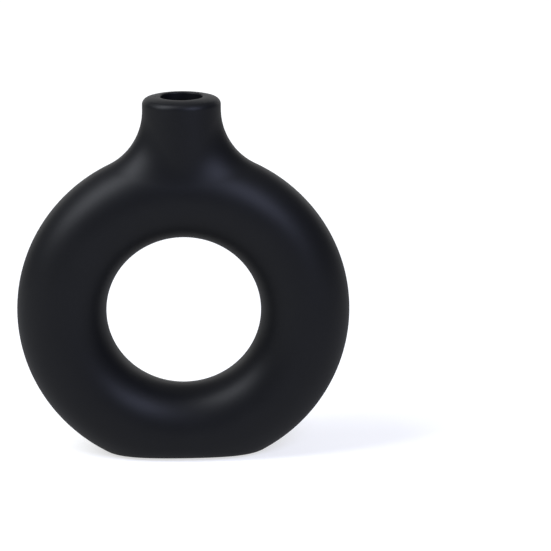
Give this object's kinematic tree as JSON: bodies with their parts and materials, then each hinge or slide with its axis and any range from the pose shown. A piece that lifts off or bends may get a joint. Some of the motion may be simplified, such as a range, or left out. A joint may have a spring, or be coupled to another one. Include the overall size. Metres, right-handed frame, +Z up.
{
  "type": "donut vase",
  "caption": "Upright ring-shaped vase with an open centre, a flat foot, a short flared neck and a small turned-in mouth, moulded as front and back half shells glued along a tongue and groove.",
  "frame": {"origin": "on the floor under the middle of the foot, on the joint plane of the two shells", "axes": "+Z up through the neck, +X to the right across the ring, the front looks towards -Y"},
  "size_m": [0.182, 0.0488, 0.2],
  "materials": {
    "shell_plastic": "black plastic with a fine, even, satin moulded grain",
    "seam_adhesive": "cured black adhesive, hidden in the joint"
  },
  "bodies": {
    "root": {"front_shell": "shell_plastic", "back_shell": "shell_plastic", "outside_seam_bead": "seam_adhesive", "hole_seam_bead": "seam_adhesive"}
  },
  "joints": []
}
